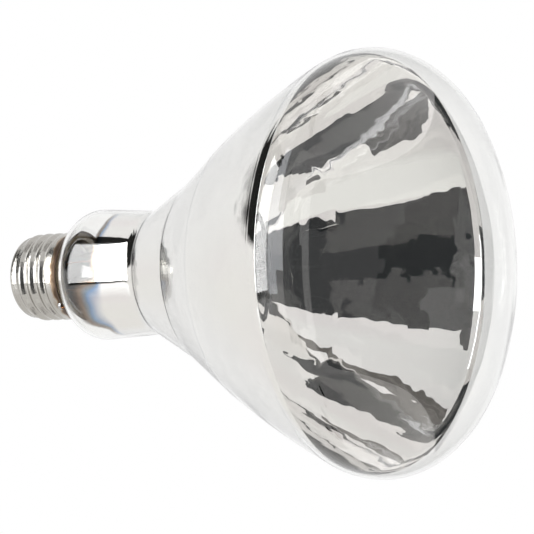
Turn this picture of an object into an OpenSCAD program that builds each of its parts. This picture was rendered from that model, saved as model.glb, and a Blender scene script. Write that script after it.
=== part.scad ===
// Reflector heat lamp with a clear front, a silvered glass bulb and a medium screw base.
// The bulb stands on its centre contact: the origin is the contact's tip and +Z runs to the dome.
// The camera side of the lamp is -Y. All sizes are in millimetres and all angles in degrees.

/* [View] */
// Name of the piece to draw, or "all".

/* [Glass bulb] */
// Widest outside diameter of the bulb.
bulb_diameter = 125; // [115:0.5:130]
// Height of the widest plane above the contact tip.
rim_height = 130; // [125:0.5:140]
// Height of the dome above the widest plane.
dome_height = 27.5; // [24:0.5:34]
// Outside radius of the round between the dome and the reflector.
rim_round = 14; // [8:0.5:16]
// Slope of the reflector wall, from the axis, where that round begins.
rim_wall_angle = 25.5; // [20:0.5:28]
// Outside diameter at the crease where the reflector bowl begins.
crease_diameter = 57; // [54:0.5:60]
// Height of the crease.
crease_height = 71.3; // [70:0.1:74]
// Height of the bowl's second, fainter crease. The bowl is a plain cone up to there.
upper_crease_height = 89.5; // [85:0.5:93]
// Slope of the throat cone below the crease, from the axis.
throat_angle = 29; // [26:0.5:32]
// Inside sweep of the bend between the neck and the throat cone.
throat_round = 7; // [5:0.5:14]
// Outside diameter of the neck at its shoulder.
shoulder_diameter = 39.1; // [36:0.1:41]
// Height of the shoulder's widest ring.
shoulder_height = 32.5; // [31:0.1:35]
// Outside radius of the round shoulder.
shoulder_round = 9; // [8:0.1:9.3]
// Narrowing of the neck above the shoulder, as an angle on one side.
neck_taper = 3.6; // [0:0.1:5]
// Outside diameter of the glass tube inside the screw base.
seal_tube_diameter = 22.8; // [22:0.1:23]
// Height where the bulb is fused to the stem's foot.
seal_height = 13; // [12.6:0.1:15]
// Thickness of the blown glass.
glass_wall = 0.9; // [0.7:0.05:1.2]

/* [Mirror film] */
// Drawn thickness of the silvering inside the bulb. The real film is far thinner.
mirror_film = 0.08; // [0.05:0.01:0.15]
// Height where the silvering begins on the neck.
mirror_low = 40; // [36:0.5:45]
// Distance from the widest plane down to the silvering's front edge.
mirror_front_drop = 1.5; // [0.5:0.1:6]

/* [Stem] */
// Outside diameter of the stem's flare tube.
flare_tube_diameter = 13.6; // [12:0.1:15]
// Sweep of the trumpet at the foot of the flare.
flare_sweep = 3.5; // [2:0.1:4]
// Wall of the flare tube.
flare_wall = 0.9; // [0.7:0.05:1.2]
// Height where the flare tube closes under the press.
press_low = 34; // [30:0.5:36]
// Height over which the flare tube narrows to the press.
press_root = 6; // [4:0.5:8]
// Length of the flat press.
press_length = 12; // [10:0.5:14]
// Width of the press.
press_width = 15; // [14:0.1:16]
// Thickness of the press.
press_thickness = 4.6; // [4:0.1:6]
// Outside diameter of the exhaust tube.
exhaust_diameter = 4.6; // [4:0.1:5]
// Wall of the exhaust tube.
exhaust_wall = 1; // [0.8:0.05:1.2]
// Height of the exhaust tube's sealed tip.
exhaust_tip = 8.6; // [8:0.1:11]
// Length of the taper at that tip.
exhaust_taper = 2; // [1.5:0.1:3]
// Diameter of the glass rod above the press.
rod_diameter = 2.8; // [2.4:0.1:3.4]
// Length of that rod, from the press to the middle of its button.
rod_length = 14; // [12:0.5:16]
// Diameter of the button.
button_diameter = 5.6; // [5:0.1:7]
// Height of the button along the rod.
button_thickness = 3; // [2.4:0.1:4]

/* [Wires and filament] */
// Distance between the two lead wires in the press.
lead_spacing = 8.6; // [8:0.1:9]
// Diameter of the stiff leads inside the bulb.
inner_lead_diameter = 1; // [0.8:0.05:1.2]
// Diameter of the sealing wires in the press.
seal_wire_diameter = 0.7; // [0.5:0.05:0.8]
// Diameter of the leads in the base.
outer_lead_diameter = 0.4; // [0.3:0.05:0.45]
// Straight length of the stiff leads at the press and under the filament.
lead_straight = 6; // [4:0.5:8]
// How far the side lead dips below the stem's foot.
lead_dip = 0.8; // [0.5:0.1:1.2]
// Clearance of the centre lead from the exhaust tube.
lead_clearance = 1.2; // [0.6:0.1:1.5]
// Play between the side lead and the collar's curled edge.
lead_play = 0.1; // [0.05:0.01:0.2]
// Diameter of the filament supports.
support_diameter = 0.5; // [0.4:0.05:0.6]
// Height that a support stands straight under the filament.
support_straight = 7; // [5:0.5:9]
// Height of the filament.
filament_height = 77; // [74:0.5:80]
// Radius of the arc that the filament follows.
filament_arc_radius = 13; // [11:0.5:14]
// Half of the gap in that arc, where the leads stand.
filament_half_gap = 40; // [34:1:48]
// Outside radius of the filament's coil.
coil_radius = 0.95; // [0.8:0.05:1.1]
// Number of turns in the coil.
coil_turns = 56; // [30:1:60]
// Diameter of the tungsten wire as drawn.
tungsten_diameter = 0.3; // [0.24:0.02:0.36]
// Play between the coil and a support's loop.
loop_play = 0.02; // [0:0.01:0.1]

/* [Screw base] */
// Diameter over the thread's crests.
thread_crest_diameter = 26.24; // [26.05:0.01:26.34]
// Diameter at the thread's roots.
thread_root_diameter = 24.44; // [24.3:0.01:24.5]
// Rise of the thread in one turn.
thread_pitch = 3.629; // [3.6:0.001:3.65]
// Height where the thread begins to rise from the lip.
thread_low = 5.9; // [5.9:0.1:6.5]
// Height of the plain collar's lower edge.
collar_low = 18.6; // [18:0.1:19]
// Height of the collar's curled edge.
collar_top = 22.9; // [22.5:0.1:23]
// Diameter of the collar's plain stretch above the thread.
collar_diameter = 26.3; // [26.28:0.01:26.4]
// Height where the collar begins to flare.
flare_height = 20.4; // [20:0.1:20.8]
// How far the collar flares, on one side, up to its curled edge.
collar_flare = 0.2; // [0.1:0.01:0.25]
// Sheet thickness of the collar and the lip.
shell_sheet = 0.3; // [0.28:0.01:0.35]
// Sheet thickness where the thread was rolled in.
rolled_sheet = 0.22; // [0.2:0.01:0.24]
// Height of the collar's curled edge.
curl_height = 0.8; // [0.6:0.05:1]
// How far the collar's edge curls out.
curl = 0.35; // [0.2:0.05:0.4]
// Height of the rolled lip under the shell.
lip_height = 3.95; // [3.8:0.05:4.2]
// Outside radius of that lip's round.
lip_round = 1.9; // [1.5:0.05:2]

/* [Contacts and filling] */
// Play between the side lead and the glass tube.
tube_play = 0.06; // [0.03:0.01:0.1]
// Diameter of the centre contact.
contact_diameter = 9.6; // [9:0.1:10.5]
// Height of the centre contact's lower face.
contact_low = 0.6; // [0.4:0.05:0.8]
// Thickness of the centre contact.
contact_thickness = 0.5; // [0.3:0.05:0.6]
// Diameter of the hole through the centre contact, which the solder fills.
contact_hole = 2; // [1.5:0.1:2.5]
// Diameter of the insulator where it meets the contact.
insulator_tip_diameter = 11.2; // [10.6:0.1:12]
// Height of the insulator's upper face inside the shell.
insulator_top = 5.9; // [5.8:0.05:5.95]
// Diameter of the hole for the lead through the insulator.
insulator_hole = 3; // [2:0.1:4]
// Diameter of the solder spot on the centre contact.
solder_spot_diameter = 5; // [4:0.1:6]
// Diameter of the flat on that spot.
solder_flat_diameter = 2.4; // [2:0.1:3]
// Radius of the solder bead on the collar.
side_bead_radius = 1.3; // [1.1:0.1:1.4]
// Height of that bead.
side_bead_height = 21.7; // [21.5:0.1:21.8]
// Direction of that bead about the axis.
side_bead_direction = -48; // [-90:1:90]
// Lower edge of the cement between the glass and the collar.
cement_low = 18.9; // [18.7:0.1:20]
// Upper edge of the cement.
cement_top = 22.3; // [21:0.1:22.3]

/* [Hidden] */
$fn = 64;
tiny = 0.01;
cut_past = 1;
press_lap = 1;
sheet_lap = 0.4;
sheet_play = 0.03;
bulb_radius = bulb_diameter / 2;
tube_radius = seal_tube_diameter / 2;

// Dome: a sphere that runs smoothly into the rim's round.
dome_radius = (pow(bulb_radius - rim_round, 2) + pow(dome_height, 2) - pow(rim_round, 2))
    / (2 * (dome_height - rim_round));
dome_centre = [0, rim_height + dome_height - dome_radius];
rim_centre = [bulb_radius - rim_round, rim_height];
dome_join_angle = atan2(rim_centre[1] - dome_centre[1], rim_centre[0]);

// Bowl: an arc that is smooth at the rim's round, and its chord between the two creases.
crease = [crease_diameter / 2, crease_height];
bowl_end = rim_centre + rim_round * heading(-rim_wall_angle);
bowl_chord = bowl_end - crease;
bowl_chord_angle = atan2(bowl_chord[0], bowl_chord[1]);
bowl_turn = bowl_chord_angle - rim_wall_angle;
bowl_radius = norm(bowl_chord) / (2 * sin(bowl_turn));
bowl_centre = bowl_end - bowl_radius * heading(-rim_wall_angle);
bowl_low_angle = asin((bowl_centre[1] - upper_crease_height) / bowl_radius);
upper_crease = bowl_centre + bowl_radius * heading(-bowl_low_angle);
cone_angle = atan2(upper_crease[0] - crease[0], upper_crease[1] - crease[1]);

// Neck: a round shoulder, a slight cone and a bend into the throat cone.
shoulder_centre = [shoulder_diameter / 2 - shoulder_round, shoulder_height];
shoulder_low_angle = -acos((tube_radius - shoulder_centre[0]) / shoulder_round);
shoulder_foot = shoulder_centre + shoulder_round * heading(shoulder_low_angle);
neck_start = shoulder_centre + shoulder_round * heading(neck_taper);
neck_bend_height = (neck_start[0] + neck_start[1] * tan(neck_taper) - crease[0]
    + crease[1] * tan(throat_angle)) / (tan(throat_angle) + tan(neck_taper));
neck_bend = [crease[0] - (crease[1] - neck_bend_height) * tan(throat_angle), neck_bend_height];
neck_bend_centre = neck_bend + throat_round * (heading(neck_taper) + heading(-throat_angle))
    / (1 + cos(neck_taper + throat_angle));

press_top = press_low + press_length;
button_height = press_top + rod_length;
flare_radius = flare_tube_diameter / 2;
foot_bend = [flare_radius + flare_sweep, seal_height + flare_sweep];
foot_low = seal_height - flare_wall;
lead_x = lead_spacing / 2;

filament_start = -90 + filament_half_gap;
filament_span = 360 - 2 * filament_half_gap;
coil_wire_radius = coil_radius - tungsten_diameter / 2;
coil_steps = 8;
support_angles = [0, 90, 180];
loop_radius = coil_radius + loop_play + support_diameter / 2;

crest_radius = thread_crest_diameter / 2;
root_radius = thread_root_diameter / 2;
collar_radius = collar_diameter / 2;
rim_radius = collar_radius + collar_flare;
flare_slope = collar_flare / (collar_top - curl_height - flare_height);
lip_centre = [root_radius + sheet_play - lip_round, lip_height + lip_round];
thread_foot = thread_low - sheet_lap;
thread_head = collar_low + sheet_lap;
thread_columns = 48;
thread_rows = 30;
run_out = 0.35 * thread_pitch;

// The two leads in the base, as points on their way from the press to the contacts.
lead_bend_height = (press_low + seal_height) / 2;
centre_lead_route = [
    [-lead_x, 0, press_low],
    [-lead_x, 0, lead_bend_height],
    [-exhaust_diameter / 2 - lead_clearance, 0, exhaust_tip + 1.5 * exhaust_taper],
    [-exhaust_diameter / 4, 0, exhaust_tip - lead_clearance],
    [0, 0, insulator_top - lead_clearance],
    [0, 0, contact_low]
];
outer_lead_radius = outer_lead_diameter / 2;
side_lead_radius = tube_radius + tube_play + outer_lead_radius;
curl_radius = rim_radius + curl;
side_lead_route = [
    [lead_x, 0, press_low],
    [lead_x, 0, lead_bend_height],
    polar(flare_radius - flare_wall, side_bead_direction, seal_height + lead_dip),
    polar((flare_radius + foot_bend[0]) / 2, side_bead_direction, foot_low - lead_dip),
    polar(tube_radius - outer_lead_radius, side_bead_direction, foot_low - lead_dip),
    polar(side_lead_radius, side_bead_direction, foot_low),
    polar(side_lead_radius, side_bead_direction, cement_top),
    polar((side_lead_radius + collar_radius) / 2, side_bead_direction, collar_top + lead_play),
    polar(collar_radius, side_bead_direction, collar_top + outer_lead_radius + 2 * lead_play),
    polar(curl_radius + outer_lead_radius + lead_play, side_bead_direction, collar_top),
    polar(curl_radius + lead_play, side_bead_direction, collar_top - curl_height),
    polar(rim_radius + outer_lead_diameter, side_bead_direction, side_bead_height)
];

function heading(a) = [cos(a), sin(a)];
function polar(r, a, z) = [r * cos(a), r * sin(a), z];
function unit(v) = v / norm(v);

// Stations along an arc: [radius, height, direction of the outside]. A negative r is a hollow bend.
function bend(centre, r, from, to, steps, first = 0) =
    [for (i = [first:steps]) let (a = from + (to - from) * i / steps)
        [centre[0] + r * cos(a), centre[1] + r * sin(a), a]];

function inset(stations, depth) =
    [for (s = stations) [s[0] - depth * cos(s[2]), s[1] - depth * sin(s[2])]];

function split(a, b, c, d) = [[a, b, c], [a, c, d]];

// The collar's wall, moved inwards by a depth.
function collar_side(depth, top) = [
    [collar_radius - depth, collar_low],
    [collar_radius - depth, flare_height],
    [collar_radius - depth + flare_slope * (top - flare_height), top]
];

function reversed(list) = [for (i = [len(list) - 1:-1:0]) list[i]];

bulb_stations = concat(
    [[tube_radius, seal_height, 0], [tube_radius, shoulder_foot[1], shoulder_low_angle / 2]],
    bend(shoulder_centre, shoulder_round, shoulder_low_angle, neck_taper, 9, 1),
    bend(neck_bend_centre, -throat_round, neck_taper, -throat_angle, 5),
    [[crease[0], crease[1], -(throat_angle + cone_angle) / 2]],
    [[upper_crease[0], upper_crease[1], -(cone_angle + bowl_low_angle) / 2]],
    bend(bowl_centre, bowl_radius, -bowl_low_angle, -rim_wall_angle, 8, 1),
    bend(rim_centre, rim_round, -rim_wall_angle, dome_join_angle, 10, 1),
    bend(dome_centre, dome_radius, dome_join_angle, 90, 9, 1)
);

flare_stations = concat(
    [[tube_radius, seal_height, 90]],
    bend(foot_bend, -flare_sweep, 90, 0, 6),
    [[flare_radius, press_low + press_lap, 0]]
);

// A wall between an outline and the same outline moved inwards.
module wall(stations, outer, inner) {
    polygon(concat(inset(stations, outer), reversed(inset(stations, inner))));
}

// A round wire along a route. The guide is a direction that the route never follows.
module wire(route, guides, diameter, sides = 8) {
    last = len(route) - 1;
    rings = [
        for (i = [0:last])
            let (
                along = unit(route[min(i + 1, last)] - route[max(i - 1, 0)]),
                across = unit(cross(guides[i], along)),
                up = cross(along, across)
            )
            for (k = [0:sides - 1])
                route[i] + diameter / 2 * (cos(360 * k / sides) * across + sin(360 * k / sides) * up)
    ];
    faces = concat(
        [for (i = [0:last - 1], k = [0:sides - 1]) let (n = (k + 1) % sides)
            each split(i * sides + k, (i + 1) * sides + k, (i + 1) * sides + n, i * sides + n)],
        [[for (k = [0:sides - 1]) k]],
        [[for (k = [sides - 1:-1:0]) last * sides + k]]
    );
    polyhedron(points = rings, faces = faces, convexity = 8);
}

function same_guide(route, guide) = [for (p = route) guide];

module glass_bulb() {
    color("aliceblue", 0.35)
        rotate_extrude()
            wall(bulb_stations, 0, glass_wall);
}

module mirror_film() {
    color("silver")
        rotate_extrude()
            intersection() {
                wall(bulb_stations, glass_wall, glass_wall + mirror_film);
                translate([0, mirror_low])
                    square([bulb_diameter, rim_height - mirror_front_drop - mirror_low]);
            }
}

// The press is a flat pinch with round edges.
module press_body() {
    translate([0, 0, press_low])
        linear_extrude(press_length)
            union() {
                square([press_width - press_thickness, press_thickness], center = true);
                for (side = [-1, 1])
                    translate([side * (press_width - press_thickness) / 2, 0])
                        circle(d = press_thickness);
            }
}

// The port lets the exhaust tube draw air from the bulb, through the side of the press.
module exhaust_port() {
    port = exhaust_diameter - 2 * exhaust_wall;
    port_height = 1.5 * port;
    translate([0, 0, press_low - tiny])
        cylinder(d = port, h = port_height);
    translate([0, 0, press_low + port_height - port / 2])
        rotate([-90, 0, 0])
            cylinder(d = port * 0.8, h = flare_radius + cut_past);
}

module stem_flare() {
    color("aliceblue", 0.35)
        difference() {
            union() {
                rotate_extrude()
                    wall(flare_stations, 0, flare_wall);
                translate([0, 0, press_low])
                    cylinder(r1 = flare_radius - flare_wall / 2, r2 = press_thickness / 2, h = press_root);
                press_body();
            }
            exhaust_port();
            for (side = [-1, 1])
                translate([side * lead_x, 0, press_low - cut_past])
                    cylinder(d = seal_wire_diameter, h = press_length + 2 * cut_past);
        }
}

module exhaust_tube() {
    color("aliceblue", 0.35)
        difference() {
            union() {
                translate([0, 0, exhaust_tip + exhaust_taper])
                    cylinder(d = exhaust_diameter, h = press_low - exhaust_tip - exhaust_taper);
                translate([0, 0, exhaust_tip])
                    cylinder(d1 = exhaust_wall, d2 = exhaust_diameter, h = exhaust_taper);
            }
            translate([0, 0, exhaust_tip + exhaust_taper])
                cylinder(d = exhaust_diameter - 2 * exhaust_wall, h = press_low);
        }
}

module stem_rod() {
    edge = button_thickness / 2;
    color("aliceblue", 0.35)
        difference() {
            rotate_extrude()
                polygon(concat(
                    [[0, press_top], [rod_diameter / 2, press_top]],
                    [for (i = [0:8]) let (a = -70 + 160 * i / 8)
                        [button_diameter / 2 - edge + edge * cos(a), button_height + edge * sin(a)]],
                    [[0, button_height + edge]]
                ));
            for (angle = support_angles)
                support_wire(angle);
        }
}

module seal_wire(side) {
    color("peru")
        translate([side * lead_x, 0, press_low])
            cylinder(d = seal_wire_diameter, h = press_length);
}

module inner_lead(side) {
    foot = polar(filament_arc_radius, filament_start, 0);
    route = [
        [side * lead_x, 0, press_top],
        [side * lead_x, 0, press_top + lead_straight],
        [side * foot[0], foot[1], filament_height - lead_straight],
        [side * foot[0], foot[1], filament_height + inner_lead_diameter]
    ];
    color("lightgray")
        wire(route, same_guide(route, [1, 0, 0]), inner_lead_diameter);
}

// A support leaves the button, rises to the filament and closes round it in a loop.
module support_wire(angle) {
    centre = [filament_arc_radius, 0, filament_height];
    route = concat(
        [
            [button_diameter / 4, 0, button_height],
            [button_diameter / 2 + 2 * support_diameter, 0, button_height + support_diameter],
            [filament_arc_radius - 1.3 * loop_radius, 0, filament_height - support_straight],
            [filament_arc_radius - 0.9 * loop_radius, 0, filament_height - 2 * loop_radius]
        ],
        [for (a = [190:-30:-110]) centre + loop_radius * [cos(a), 0, sin(a)]]
    );
    color("lightgray")
        rotate([0, 0, angle])
            wire(route, same_guide(route, [0, 1, 0]), support_diameter);
}

// The tungsten wire winds about an arc, and its two legs run in to the leads.
function coil_reach(turn) =
    coil_wire_radius * min(1, max(0, turn - 0.5), max(0, coil_turns - 0.5 - turn));

function coil_point(turn, angle) =
    polar(filament_arc_radius + coil_reach(turn) * cos(360 * turn), angle,
        filament_height + coil_reach(turn) * sin(360 * turn));

module filament() {
    clear_angle = (inner_lead_diameter / 2) / filament_arc_radius * 180 / PI;
    first = filament_start + clear_angle;
    span = filament_span - 2 * clear_angle;
    count = coil_turns * coil_steps;
    route = [for (i = [0:count]) coil_point(i / coil_steps, first + span * i / count)];
    guides = [for (i = [0:count]) let (a = first + span * i / count) [-sin(a), cos(a), 0.25]];
    color("dimgray")
        wire(route, guides, tungsten_diameter, 5);
}

module centre_lead() {
    color("peru")
        wire(centre_lead_route, same_guide(centre_lead_route, [0, 1, 0]), outer_lead_diameter);
}

module side_lead() {
    across = [-sin(side_bead_direction), cos(side_bead_direction), 0];
    color("peru")
        wire(side_lead_route, same_guide(side_lead_route, across), outer_lead_diameter);
}

// Rolled knuckle thread: its height above the root follows a cosine and dies out at both ends.
function thread_share(z) =
    min(1, max(0, (z - thread_low) / (thread_pitch * 0.7)));

function collar_share(z) =
    min(1, max(0, (z - collar_low + run_out) / run_out));

function thread_radius(z, angle) =
    let (
        wave = 0.5 + 0.5 * cos(360 * (z - thread_low) / thread_pitch - angle),
        rolled = root_radius + (crest_radius - root_radius) * wave * thread_share(z)
    )
    rolled + (crest_radius - rolled) * collar_share(z);

module rolled_thread() {
    skins = [0, rolled_sheet];
    points = [
        for (depth = skins, j = [0:thread_rows], k = [0:thread_columns - 1])
            let (
                z = thread_foot + (thread_head - thread_foot) * j / thread_rows,
                angle = 360 * k / thread_columns
            )
            polar(thread_radius(z, angle) - depth, angle, z)
    ];
    inside = (thread_rows + 1) * thread_columns;
    top = thread_rows * thread_columns;
    faces = [
        for (k = [0:thread_columns - 1])
            let (n = (k + 1) % thread_columns)
            each concat(
                [for (j = [0:thread_columns:top - 1])
                    each split(j + k, j + thread_columns + k, j + thread_columns + n, j + n)],
                [for (j = [inside:thread_columns:inside + top - 1])
                    each split(j + n, j + thread_columns + n, j + thread_columns + k, j + k)],
                split(k, n, inside + n, inside + k),
                split(top + n, top + k, inside + top + k, inside + top + n)
            )
    ];
    polyhedron(points = points, faces = faces, convexity = 10);
}

module collar() {
    rotate_extrude()
        polygon(concat(
            collar_side(0, collar_top - curl_height),
            [[curl_radius, collar_top - shell_sheet / 2], [curl_radius - shell_sheet / 2, collar_top]],
            reversed(collar_side(shell_sheet, collar_top - shell_sheet))
        ));
}

module shell_lip() {
    rotate_extrude()
        polygon(concat(
            [for (i = [0:6]) lip_centre + lip_round * heading(-90 + 15 * i)],
            [[lip_centre[0] + lip_round, thread_low],
                [lip_centre[0] + lip_round - shell_sheet, thread_low]],
            [for (i = [6:-1:0]) lip_centre + (lip_round - shell_sheet) * heading(-90 + 15 * i)]
        ));
}

module screw_shell() {
    color("gainsboro")
        union() {
            shell_lip();
            rolled_thread();
            collar();
        }
}

module base_cement() {
    color("tan")
        difference() {
            rotate_extrude()
                difference() {
                    polygon(concat(
                        [[tube_radius, cement_top], [tube_radius, collar_low]],
                        collar_side(shell_sheet, cement_top)
                    ));
                    square([collar_radius, cement_low]);
                }
            side_lead();
        }
}

module base_insulator() {
    top_radius = lip_centre[0] + lip_round - shell_sheet;
    color("black")
        rotate_extrude()
            polygon(concat(
                [[insulator_hole / 2, contact_low + contact_thickness],
                    [insulator_tip_diameter / 2, contact_low + contact_thickness]],
                [for (i = [0:6]) lip_centre + (lip_round - shell_sheet) * heading(-90 + 15 * i)],
                [[top_radius, insulator_top], [insulator_hole / 2, insulator_top]]
            ));
}

module centre_contact() {
    color("goldenrod")
        translate([0, 0, contact_low])
            difference() {
                cylinder(d = contact_diameter, h = contact_thickness);
                translate([0, 0, -cut_past])
                    cylinder(d = contact_hole, h = contact_thickness + 2 * cut_past);
            }
}

// The spot of solder fills the contact's hole and holds the end of the centre lead.
module centre_solder() {
    color("silver")
        difference() {
            union() {
                cylinder(d1 = solder_flat_diameter, d2 = solder_spot_diameter, h = contact_low);
                cylinder(d = contact_hole, h = contact_low + contact_thickness);
            }
            centre_lead();
        }
}

module side_solder() {
    $fn = 180;
    color("silver")
        difference() {
            translate(polar(rim_radius - side_bead_radius * 0.45, side_bead_direction, side_bead_height))
                sphere(r = side_bead_radius);
            rotate_extrude()
                polygon(concat([[0, collar_low]], collar_side(0, collar_top), [[0, collar_top]]));
            translate([0, 0, collar_top - curl_height])
                cylinder(r = 2 * rim_radius, h = 2 * side_bead_radius);
            side_lead();
        }
}

glass_bulb();
mirror_film();
stem_flare();
exhaust_tube();
stem_rod();
seal_wire(-1);  // seal_wire_left
seal_wire(1);  // seal_wire_right
inner_lead(-1);  // inner_lead_left
inner_lead(1);  // inner_lead_right
support_wire(support_angles[0]);  // support_wire_front
support_wire(support_angles[1]);  // support_wire_middle
support_wire(support_angles[2]);  // support_wire_back
filament();
centre_lead();
side_lead();
screw_shell();
base_cement();
base_insulator();
centre_contact();
centre_solder();
side_solder();
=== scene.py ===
"""A reflector heat lamp with a clear front, seen from the side of its silvered bowl."""
from math import acos, asin, atan2, cos, degrees, hypot, pi, radians, sin, sqrt, tan

import bmesh
import bpy
from mathutils import Matrix, Vector


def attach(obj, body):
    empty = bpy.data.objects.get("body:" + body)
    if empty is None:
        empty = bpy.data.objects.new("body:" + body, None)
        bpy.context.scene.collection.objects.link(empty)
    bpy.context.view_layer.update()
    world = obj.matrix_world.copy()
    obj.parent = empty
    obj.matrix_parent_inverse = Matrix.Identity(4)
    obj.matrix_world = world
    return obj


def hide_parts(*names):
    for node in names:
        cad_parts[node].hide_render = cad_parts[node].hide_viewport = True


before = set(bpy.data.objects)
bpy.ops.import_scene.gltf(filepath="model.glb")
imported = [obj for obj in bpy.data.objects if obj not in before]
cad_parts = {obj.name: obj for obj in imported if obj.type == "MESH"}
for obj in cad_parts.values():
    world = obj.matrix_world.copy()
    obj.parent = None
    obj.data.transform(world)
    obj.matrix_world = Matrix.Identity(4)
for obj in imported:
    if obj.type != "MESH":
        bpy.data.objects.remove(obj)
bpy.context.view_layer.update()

MM = 0.001

# Camera, fitted to the outline in the photograph.
PHOTO_SIZE = 534.0
RIM_IN_PHOTO = (382.0, 263.4)
CAMERA_DISTANCE = 1400.0
PIXELS_PER_MM = 3.465
TILT_TO_CAMERA = radians(34.0)
ROLL = radians(2.35)
SENSOR_WIDTH = 36.0

# Bulb, in millimetres.
BULB_RADIUS = 62.5
RIM_HEIGHT = 130.0
DOME_HEIGHT = 27.5
RIM_ROUND = 14.0
RIM_WALL_ANGLE = 25.5
CREASE = (28.5, 71.3)
UPPER_CREASE_HEIGHT = 89.5
CREASE_ROUND = 4.0
UPPER_CREASE_ROUND = 40.0
THROAT_ANGLE = 29.0
THROAT_ROUND = 7.0
SHOULDER_RADIUS = 19.55
SHOULDER_HEIGHT = 32.5
SHOULDER_ROUND = 9.0
NECK_TAPER = 3.6
TUBE_RADIUS = 11.4
SEAL_HEIGHT = 13.0
GLASS_WALL = 0.9
FILM_GAP = 0.02
FILM_THICKNESS = 0.06
MIRROR_LOW = 30.0
MIRROR_THIN = 39.0
MIRROR_FULL = 42.5
MIRROR_STAIN = (9.8, -16.9, 34.0)
STAIN_DROP = 8.5
MIRROR_HIGH = 127.6

# Screw shell: where the dark brown band at the collar's top begins and where it is full. It is partly baked
# soldering residue and partly painted shade where the collar meets the glass.
FLUX_AND_SHADE_LOW = 19.8
FLUX_AND_SHADE_HIGH = 21.6

# Staging.
ROOM_RADIUS = 2.2
ROOM_LOW = "#F8F7F3"
ROOM_MIDDLE = "#FCFBF8"
ROOM_HIGH = "#FFFFFE"
ROOM_BLUSH = "#F9F4F5"


def arc(centre, radius, start, end, steps):
    """Stations [r, z, direction of the outside in degrees] along an arc; a negative radius bends in."""
    stations = []
    for i in range(1, steps + 1):
        a = start + (end - start) * i / steps
        stations.append((centre[0] + radius * cos(radians(a)), centre[1] + radius * sin(radians(a)), a))
    return stations


def along(a):
    return Vector((cos(radians(a)), sin(radians(a))))


def rounded(corner, radius, low, high, steps=8):
    """A corner of the outline between two directions of the outside, rounded; it may bend in or out."""
    turn = radians(high - low)
    sign = 1.0 if turn > 0 else -1.0
    centre = corner - sign * radius * (along(low) + along(high)) / (1 + cos(turn))
    return [(centre.x + sign * radius * cos(radians(low)), centre.y + sign * radius * sin(radians(low)), low)] + arc(
        centre, sign * radius, low, high, steps)


def bulb_stations():
    """The bulb's outline from the seal to the dome's middle, as in the CAD."""
    rim = Vector((BULB_RADIUS - RIM_ROUND, RIM_HEIGHT))
    dome_radius = (rim.x ** 2 + DOME_HEIGHT ** 2 - RIM_ROUND ** 2) / (2 * (DOME_HEIGHT - RIM_ROUND))
    dome = Vector((0.0, RIM_HEIGHT + DOME_HEIGHT - dome_radius))
    dome_join = degrees(atan2(rim.y - dome.y, rim.x))

    crease = Vector(CREASE)
    bowl_end = rim + RIM_ROUND * along(-RIM_WALL_ANGLE)
    chord = bowl_end - crease
    chord_angle = degrees(atan2(chord.x, chord.y))
    turn = chord_angle - RIM_WALL_ANGLE
    bowl_radius = chord.length / (2 * sin(radians(turn)))
    bowl = bowl_end - bowl_radius * along(-RIM_WALL_ANGLE)
    bowl_low = degrees(asin((bowl.y - UPPER_CREASE_HEIGHT) / bowl_radius))
    upper_crease = bowl + bowl_radius * along(-bowl_low)
    cone_angle = degrees(atan2(upper_crease.x - crease.x, upper_crease.y - crease.y))

    shoulder = Vector((SHOULDER_RADIUS - SHOULDER_ROUND, SHOULDER_HEIGHT))
    shoulder_low = -degrees(acos((TUBE_RADIUS - shoulder.x) / SHOULDER_ROUND))
    foot = shoulder + SHOULDER_ROUND * along(shoulder_low)
    neck = shoulder + SHOULDER_ROUND * along(NECK_TAPER)
    slope, taper = tan(radians(THROAT_ANGLE)), tan(radians(NECK_TAPER))
    bend_z = (neck.x + neck.y * taper - crease.x + crease.y * slope) / (slope + taper)
    throat = Vector((crease.x - (crease.y - bend_z) * slope, bend_z))

    stations = [(TUBE_RADIUS, SEAL_HEIGHT, 0.0), (TUBE_RADIUS, foot.y, shoulder_low / 2)]
    stations += arc(shoulder, SHOULDER_ROUND, shoulder_low, NECK_TAPER, 24)
    stations += rounded(throat, THROAT_ROUND, NECK_TAPER, -THROAT_ANGLE, 14)
    stations += rounded(crease, CREASE_ROUND, -THROAT_ANGLE, -cone_angle)
    stations += rounded(upper_crease, UPPER_CREASE_ROUND, -cone_angle, -bowl_low)
    stations += arc(bowl, bowl_radius, -bowl_low, -RIM_WALL_ANGLE, 30)
    stations += arc(rim, RIM_ROUND, -RIM_WALL_ANGLE, dome_join, 30)
    stations += arc(dome, dome_radius, dome_join, 90, 30)
    return stations


def inset(stations, depth):
    return [(r - depth * cos(radians(a)), z - depth * sin(radians(a))) for r, z, a in stations]


def clip(points, low, high):
    """The stretch of an outline between two heights, with its ends cut exactly there."""
    kept = []
    for (r0, z0), (r1, z1) in zip(points, points[1:]):
        for level in (low, high):
            if min(z0, z1) < level < max(z0, z1):
                kept.append((r0 + (r1 - r0) * (level - z0) / (z1 - z0), level))
        if low < z1 < high:
            kept.append((r1, z1))
    return kept


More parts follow.
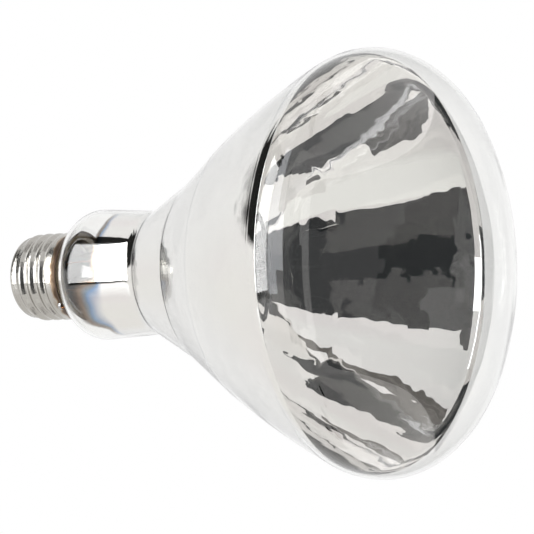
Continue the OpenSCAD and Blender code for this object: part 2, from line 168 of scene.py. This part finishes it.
def revolve(name, outline, segments=160, closed=True):
    """A mesh turned about the lamp's axis from an outline of (radius, height) in millimetres."""
    mesh = bpy.data.meshes.new(name)
    bm = bmesh.new()
    rings = []
    for r, z in outline:
        if r < 1e-4:
            rings.append([bm.verts.new((0, 0, z * MM))] * segments)
        else:
            rings.append([bm.verts.new((r * MM * cos(2 * pi * k / segments),
                                        r * MM * sin(2 * pi * k / segments), z * MM))
                          for k in range(segments)])
    pairs = list(zip(rings, rings[1:]))
    if closed:
        pairs.append((rings[-1], rings[0]))
    for low, high in pairs:
        for k in range(segments):
            n = (k + 1) % segments
            corners = []
            for v in (low[k], low[n], high[n], high[k]):
                if v not in corners:
                    corners.append(v)
            if len(corners) > 2:
                bm.faces.new(corners)
    bmesh.ops.recalc_face_normals(bm, faces=bm.faces)
    for f in bm.faces:
        f.smooth = True
    bm.to_mesh(mesh)
    bm.free()
    obj = bpy.data.objects.new(name, mesh)
    bpy.context.scene.collection.objects.link(obj)
    return obj


# Materials.
def linear(hex_colour):
    channels = [int(hex_colour[i:i + 2], 16) / 255 for i in (1, 3, 5)]
    return tuple(c / 12.92 if c <= 0.04045 else ((c + 0.055) / 1.055) ** 2.4 for c in channels) + (1.0,)


def node(tree, kind, settings=None, **links):
    """Adds a node. Settings are its properties, and links are values or sockets for its inputs."""
    n = tree.nodes.new(kind)
    for key, value in (settings or {}).items():
        setattr(n, key, value)
    for key, value in links.items():
        socket = n.inputs[int(key[1:])] if key[0] == "i" and key[1:].isdigit() else n.inputs[key.replace("_", " ")]
        if isinstance(value, bpy.types.NodeSocket):
            tree.links.new(value, socket)
        else:
            socket.default_value = value
    return n


def ramp(tree, value, stops):
    """A colour ramp from pairs of place and hex colour."""
    n = node(tree, "ShaderNodeValToRGB", Fac=value)
    while len(n.color_ramp.elements) < len(stops):
        n.color_ramp.elements.new(1.0)
    for element, (place, colour) in zip(n.color_ramp.elements, stops):
        element.position = place
        element.color = linear(colour)
    return n.outputs["Color"]


def material(name):
    m = bpy.data.materials.new(name)
    m.use_nodes = True
    m.node_tree.nodes.clear()
    return m, m.node_tree


def object_place(tree):
    return node(tree, "ShaderNodeTexCoord").outputs["Object"]


def height_in_mm(tree, place):
    z = node(tree, "ShaderNodeSeparateXYZ", Vector=place).outputs["Z"]
    return node(tree, "ShaderNodeMath", {"operation": "MULTIPLY"}, i0=z, i1=1000.0).outputs[0]


def clear_glass():
    """Soda-lime glass, blown in a mould: smooth, with a slow ripple a few centimetres long."""
    m, t = material("blown soda-lime glass")
    ripple = node(t, "ShaderNodeTexNoise", Vector=object_place(t), Scale=40.0, Detail=1.0)
    bump = node(t, "ShaderNodeBump", Strength=0.25, Distance=0.0004, Height=ripple.outputs["Fac"])
    glass = node(t, "ShaderNodeBsdfPrincipled", Base_Color=linear("#F8F8F7"), Roughness=0.0, IOR=1.52,
                 Transmission_Weight=1.0, Normal=bump.outputs["Normal"])
    node(t, "ShaderNodeOutputMaterial", Surface=glass.outputs[0])
    return m


def silvering():
    """Evaporated aluminium on rippled glass. Its lower edge thins out, brown and then blue, most at one side."""
    m, t = material("evaporated aluminium")
    place = object_place(t)
    ripple = node(t, "ShaderNodeTexNoise", Vector=place, Scale=38.0, Detail=3.0, Roughness=0.45)
    bump = node(t, "ShaderNodeBump", Strength=0.8, Distance=0.0006, Height=ripple.outputs["Fac"])
    cloud = node(t, "ShaderNodeTexNoise", Vector=place, Scale=60.0, Detail=2.0)
    drift = node(t, "ShaderNodeMapRange", Value=cloud.outputs["Fac"], To_Min=-3.0, To_Max=3.0)
    height = node(t, "ShaderNodeMath", {"operation": "ADD"}, i0=height_in_mm(t, place), i1=drift.outputs["Result"])
    away = node(t, "ShaderNodeVectorMath", {"operation": "DISTANCE"}, i0=place, i1=Vector(MIRROR_STAIN) * MM)
    thin = node(t, "ShaderNodeMapRange", {"interpolation_type": "SMOOTHSTEP"}, Value=away.outputs["Value"],
                From_Min=0.005, From_Max=0.0115, To_Min=MIRROR_THIN - STAIN_DROP, To_Max=MIRROR_THIN)
    cover = node(t, "ShaderNodeMapRange", {"interpolation_type": "SMOOTHSTEP"}, Value=height.outputs[0],
                 From_Min=thin.outputs["Result"], From_Max=MIRROR_FULL).outputs["Result"]
    tint = ramp(t, cover, ((0.0, "#4A3A2E"), (0.3, "#84705E"), (0.5, "#7E8A96"), (0.6, "#7C9CC0"),
                           (0.8, "#C4CAD8"), (1.0, "#F5F4F3")))
    metal = node(t, "ShaderNodeBsdfPrincipled", Base_Color=tint, Metallic=1.0, Roughness=0.02,
                 Normal=bump.outputs["Normal"])
    bare = node(t, "ShaderNodeBsdfTransparent")
    solid = node(t, "ShaderNodeMapRange", Value=cover, From_Max=0.3).outputs["Result"]
    film = node(t, "ShaderNodeMixShader", Fac=solid, i1=bare.outputs[0], i2=metal.outputs[0])
    node(t, "ShaderNodeOutputMaterial", Surface=film.outputs[0])
    return m


def drawn_metal(name, colour, roughness):
    """Drawn or cast metal with a fine grain."""
    m, t = material(name)
    grain = node(t, "ShaderNodeTexNoise", Vector=object_place(t), Scale=900.0, Detail=3.0)
    rough = node(t, "ShaderNodeMapRange", Value=grain.outputs["Fac"], To_Min=roughness * 0.7, To_Max=roughness * 1.4)
    metal = node(t, "ShaderNodeBsdfPrincipled", Base_Color=linear(colour), Metallic=1.0,
                 Roughness=rough.outputs["Result"])
    node(t, "ShaderNodeOutputMaterial", Surface=metal.outputs[0])
    return m


def rolled_shell():
    """Nickel-plated brass, rolled: bright, with rolling lines round it, and dark brown at the top of the collar:
    partly baked soldering residue, partly painted shade where the collar meets the glass.
    """
    m, t = material("nickel-plated rolled brass")
    place = object_place(t)
    height = height_in_mm(t, place)
    lines = node(t, "ShaderNodeTexNoise", {"noise_dimensions": "1D"}, W=height, Scale=6.0, Detail=2.0)
    band_noise = node(t, "ShaderNodeTexNoise", Vector=place, Scale=260.0, Detail=3.0)
    band_wobble = node(t, "ShaderNodeMapRange", Value=band_noise.outputs["Fac"], From_Min=0.35, From_Max=0.65,
                     To_Min=-0.7, To_Max=0.7)
    wobbled_height = node(t, "ShaderNodeMath", {"operation": "ADD"}, i0=height, i1=band_wobble.outputs["Result"])
    flux_and_shade = node(t, "ShaderNodeMapRange", {"interpolation_type": "SMOOTHSTEP"}, Value=wobbled_height.outputs[0],
                From_Min=FLUX_AND_SHADE_LOW, From_Max=FLUX_AND_SHADE_HIGH).outputs["Result"]
    # Painted shade mixed with real residue: the colour darkens to brown at the collar's top, where it meets the
    # glass.
    colour = ramp(t, flux_and_shade, ((0.0, "#B6B4AF"), (0.5, "#96836E"), (1.0, "#55463A")))
    rough = node(t, "ShaderNodeMapRange", Value=flux_and_shade, To_Min=0.2, To_Max=0.42).outputs["Result"]
    bump = node(t, "ShaderNodeBump", Strength=0.12, Distance=0.0001, Height=lines.outputs["Fac"])
    metal = node(t, "ShaderNodeBsdfPrincipled", Base_Color=colour, Metallic=1.0, Roughness=rough,
                 Normal=bump.outputs["Normal"])
    node(t, "ShaderNodeOutputMaterial", Surface=metal.outputs[0])
    return m


def cast_solid(name, low_colour, high_colour, grain_scale, roughness, ior=1.5):
    """A cement or a pressed glass, mottled between two colours."""
    m, t = material(name)
    grain = node(t, "ShaderNodeTexNoise", Vector=object_place(t), Scale=grain_scale, Detail=4.0)
    colour = ramp(t, grain.outputs["Fac"], ((0.35, low_colour), (0.65, high_colour)))
    bump = node(t, "ShaderNodeBump", Strength=0.3, Distance=0.0001, Height=grain.outputs["Fac"])
    solid = node(t, "ShaderNodeBsdfPrincipled", Base_Color=colour, Roughness=roughness, IOR=ior,
                 Normal=bump.outputs["Normal"])
    node(t, "ShaderNodeOutputMaterial", Surface=solid.outputs[0])
    return m


# Camera and staging.
def place_camera():
    tilt = TILT_TO_CAMERA
    forward = Vector((0, cos(tilt), -sin(tilt)))
    level_right = Vector((0, sin(tilt), cos(tilt)))
    level_up = Vector((-1, 0, 0))
    right = cos(ROLL) * level_right - sin(ROLL) * level_up
    up = sin(ROLL) * level_right + cos(ROLL) * level_up
    across = (RIM_IN_PHOTO[0] - PHOTO_SIZE / 2) / PIXELS_PER_MM
    above = (PHOTO_SIZE / 2 - RIM_IN_PHOTO[1]) / PIXELS_PER_MM
    rim = Vector((0, 0, RIM_HEIGHT))
    eye = (rim - across * right - above * up - CAMERA_DISTANCE * forward) * MM
    data = bpy.data.cameras.new("camera")
    data.sensor_width = SENSOR_WIDTH
    data.lens = PIXELS_PER_MM * CAMERA_DISTANCE / PHOTO_SIZE * SENSOR_WIDTH
    data.clip_start = 0.05
    data.clip_end = 50.0
    camera = bpy.data.objects.new("camera", data)
    camera.matrix_world = Matrix((
        (right.x, up.x, -forward.x, eye.x),
        (right.y, up.y, -forward.y, eye.y),
        (right.z, up.z, -forward.z, eye.z),
        (0, 0, 0, 1)))
    bpy.context.scene.collection.objects.link(camera)
    bpy.context.scene.camera = camera
    return forward, right, up


def white_room(forward, up):
    """A white room, a little warmer and darker below. Behind the lamp it is plain white."""
    world = bpy.data.worlds.new("white room")
    bpy.context.scene.world = world
    world.use_nodes = True
    t = world.node_tree
    t.nodes.clear()
    direction = node(t, "ShaderNodeTexCoord").outputs["Generated"]
    rise = node(t, "ShaderNodeVectorMath", {"operation": "DOT_PRODUCT"}, i0=direction, i1=up).outputs["Value"]
    height = node(t, "ShaderNodeMapRange", Value=rise, From_Min=-1.0, From_Max=1.0).outputs["Result"]
    walls = ramp(t, height, ((0.0, ROOM_LOW), (0.45, ROOM_MIDDLE), (0.6, ROOM_HIGH), (1.0, ROOM_HIGH)))
    blotch = node(t, "ShaderNodeTexNoise", Vector=direction, Scale=3.0, Detail=2.0)
    soft = node(t, "ShaderNodeMapRange", Value=blotch.outputs["Fac"], From_Min=0.4, From_Max=0.65,
                To_Max=0.6).outputs["Result"]
    tinted = node(t, "ShaderNodeMix", {"data_type": "RGBA"}, i0=soft, i6=walls, i7=linear(ROOM_BLUSH)).outputs[2]
    depth = node(t, "ShaderNodeVectorMath", {"operation": "DOT_PRODUCT"}, i0=direction, i1=forward).outputs["Value"]
    behind = node(t, "ShaderNodeMapRange", {"interpolation_type": "SMOOTHSTEP"}, Value=depth,
                  From_Min=0.55, From_Max=0.8).outputs["Result"]
    seen = node(t, "ShaderNodeLightPath").outputs["Is Camera Ray"]
    plain = node(t, "ShaderNodeMath", {"operation": "MAXIMUM"}, i0=behind, i1=seen).outputs[0]
    colour = node(t, "ShaderNodeMix", {"data_type": "RGBA"}, i0=plain, i6=tinted, i7=(1, 1, 1, 1)).outputs[2]
    light = node(t, "ShaderNodeBackground", Color=colour, Strength=1.0)
    node(t, "ShaderNodeOutputWorld", Surface=light.outputs[0])


def panel(name, across, rise, colour, light=0.0, fade=(0.0, 0.0), slant=0.0):
    """A panel of the staging, part of a wide ball round the bulb.

    across and rise are angles in degrees, seen from the bulb: 0 is the way to the camera,
    and more is to the right or up. With a light it glows, and otherwise it is a dull cloth.
    It thins out towards its left and lower edges over the angles in fade. Its right edge
    is higher than its left one by the angle in slant.
    """
    centre = Vector((0, 0, RIM_HEIGHT * MM))
    back, side, top = -view_forward, view_right, view_up
    columns = max(2, round((across[1] - across[0]) / 3))
    rows = max(2, round((rise[1] - rise[0]) / 3))
    points = []
    strengths = []
    for j in range(rows + 1):
        up = (rise[1] - rise[0]) * j / rows
        for i in range(columns + 1):
            right = (across[1] - across[0]) * i / columns
            h = radians(across[0] + right)
            v = radians(rise[0] + up + slant * i / columns)
            points.append(centre + ROOM_RADIUS * (cos(v) * (cos(h) * back + sin(h) * side) + sin(v) * top))
            strengths.append(min(1.0, right / fade[0] if fade[0] else 1.0)
                             * min(1.0, up / fade[1] if fade[1] else 1.0))
    faces = [(j * (columns + 1) + i, j * (columns + 1) + i + 1, (j + 1) * (columns + 1) + i + 1,
              (j + 1) * (columns + 1) + i) for j in range(rows) for i in range(columns)]
    mesh = bpy.data.meshes.new(name)
    mesh.from_pydata([tuple(p) for p in points], [], faces)
    mesh.attributes.new("strength", "FLOAT", "POINT").data.foreach_set("value", strengths)
    obj = bpy.data.objects.new(name, mesh)
    bpy.context.scene.collection.objects.link(obj)
    obj.visible_camera = False
    m, t = material(name)
    if light:
        surface = node(t, "ShaderNodeEmission", Color=linear(colour), Strength=light)
    else:
        surface = node(t, "ShaderNodeBsdfDiffuse", Color=linear(colour))
    strength = node(t, "ShaderNodeAttribute", {"attribute_name": "strength"}).outputs["Fac"]
    gap = node(t, "ShaderNodeBsdfTransparent")
    cloth = node(t, "ShaderNodeMixShader", Fac=strength, i1=gap.outputs[0], i2=surface.outputs[0])
    node(t, "ShaderNodeOutputMaterial", Surface=cloth.outputs[0])
    mesh.materials.append(m)


view_forward, view_right, view_up = place_camera()
white_room(view_forward, view_up)
panel("dark_wall", (-12, -8), (-36, 14), "#2E3031")
panel("dark_wall_top", (-12, -8), (14, 37), "#545556")
panel("dark_wall_left", (-8, -4), (-37, 38), "#2E3031")
panel("dark_wall_middle", (-4, 8), (-35.5, 36), "#434445")
panel("dark_wall_right", (8, 24), (-28, 23), "#242628", slant=5.0)
panel("dark_wall_right_foot", (8, 10.5), (-36, -28), "#38393A")
panel("dark_wall_far", (24, 30), (-23, 9), "#414243")
panel("dark_wall_low_edge", (-16, -12), (-37, -4), "#2C2E30")
panel("dark_wall_middle_edge", (-15, -12), (-4, 26), "#4A4A4B")
panel("dark_wall_high_edge", (-16, -12), (26, 46), "#4A4A4B")
panel("beam_overhead", (8, 28), (67, 88), "#706D6A")
panel("beam_far", (28, 150), (79, 88), "#706D6A")
panel("beam_foot", (17, 28), (58, 67), "#706D6A")
panel("floor_strip_near", (19, 34), (-71, -66), "#3E3C3A", slant=-6.0)
panel("floor_strip_middle", (34, 62), (-77.5, -72), "#3E3C3A", slant=-3.8)
panel("floor_strip", (62, 130), (-81, -75.5), "#3E3C3A", slant=-3.0)
panel("floor_under", (10, 130), (-89, -85), "#4A4744")
panel("floor_foot", (33, 38), (-62.5, -59), "#3E3C3A", slant=-1.5)
panel("floor_side", (31, 40), (-53, -49), "#3E3C3A", slant=-5.0)
panel("dark_side_wall", (46, 136), (-26, 26), "#3A3C3E")
panel("window", (-84, -54), (-12, 46), "#FFFFFF", 7.0)
panel("curtain", (-52, -31), (-14, 58), "#F4F6FA", 3.2)
panel("curtain_edge", (-31, -15), (-2, 26), "#F4F6FA", 3.2)
panel("window_head", (-86, -50), (47, 53), "#3C3C3A")
panel("window_sill", (-84, -60), (-15, -12.4), "#6A6A68")
panel("door", (-118, -85), (4, 50), "#242423", fade=(0.0, 3.0))
panel("door_edge", (-129, -118), (15.9, 50), "#242423", fade=(0.0, 3.0), slant=-11.3)
panel("door_far_edge", (-138, -129), (21.4, 36), "#242423", fade=(0.0, 3.0), slant=-5.5)
panel("ceiling", (-84, -36), (56, 72), "#FFFFFF", 1.4, fade=(6.0, 6.0))
panel("low_front_wall", (-20, 22), (-62, -37), "#FFFFFC", 1.1, fade=(4.0, 5.0))
panel("low_wall", (-100, -48), (-36, -16), "#FFFFFF", 1.3, fade=(6.0, 15.0))


# Pieces.
stations = bulb_stations()
glass = revolve("blown_bulb", inset(stations, 0) + inset(stations, GLASS_WALL)[::-1])
glass.data.materials.append(clear_glass())
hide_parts("glass_bulb")
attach(glass, "root")

depth = GLASS_WALL + FILM_GAP
film = revolve("silvered_film", clip(inset(stations, depth), MIRROR_LOW, MIRROR_HIGH)
               + clip(inset(stations, depth + FILM_THICKNESS), MIRROR_LOW, MIRROR_HIGH)[::-1])
film.data.materials.append(silvering())
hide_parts("mirror_film")
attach(film, "root")

stem_glass = clear_glass()
nickel = drawn_metal("nickel wire", "#B9B7B0", 0.3)
molybdenum = drawn_metal("molybdenum wire", "#A2A3A6", 0.32)
copper = drawn_metal("copper wire", "#B0764E", 0.35)
solder = drawn_metal("lead-tin solder", "#A9A9AA", 0.35)
finishes = {
    "stem_flare": stem_glass,
    "exhaust_tube": stem_glass,
    "stem_rod": stem_glass,
    "inner_lead_left": nickel,
    "inner_lead_right": nickel,
    "support_wire_front": molybdenum,
    "support_wire_middle": molybdenum,
    "support_wire_back": molybdenum,
    "seal_wire_left": copper,
    "seal_wire_right": copper,
    "centre_lead": copper,
    "side_lead": copper,
    "filament": drawn_metal("tungsten", "#6A6866", 0.4),
    "screw_shell": rolled_shell(),
    "base_cement": cast_solid("baked cement", "#8A7A62", "#B4A588", 1500.0, 0.8),
    "base_insulator": cast_solid("black pressed glass", "#0A0A0C", "#1C1C20", 500.0, 0.12, 1.52),
    "centre_contact": drawn_metal("stamped brass", "#C3A35C", 0.25),
    "centre_solder": solder,
    "side_solder": solder,
}
for name, finish in finishes.items():
    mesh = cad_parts[name].data
    mesh.materials.clear()
    mesh.materials.append(finish)

bpy.context.scene.view_settings.view_transform = "Standard"
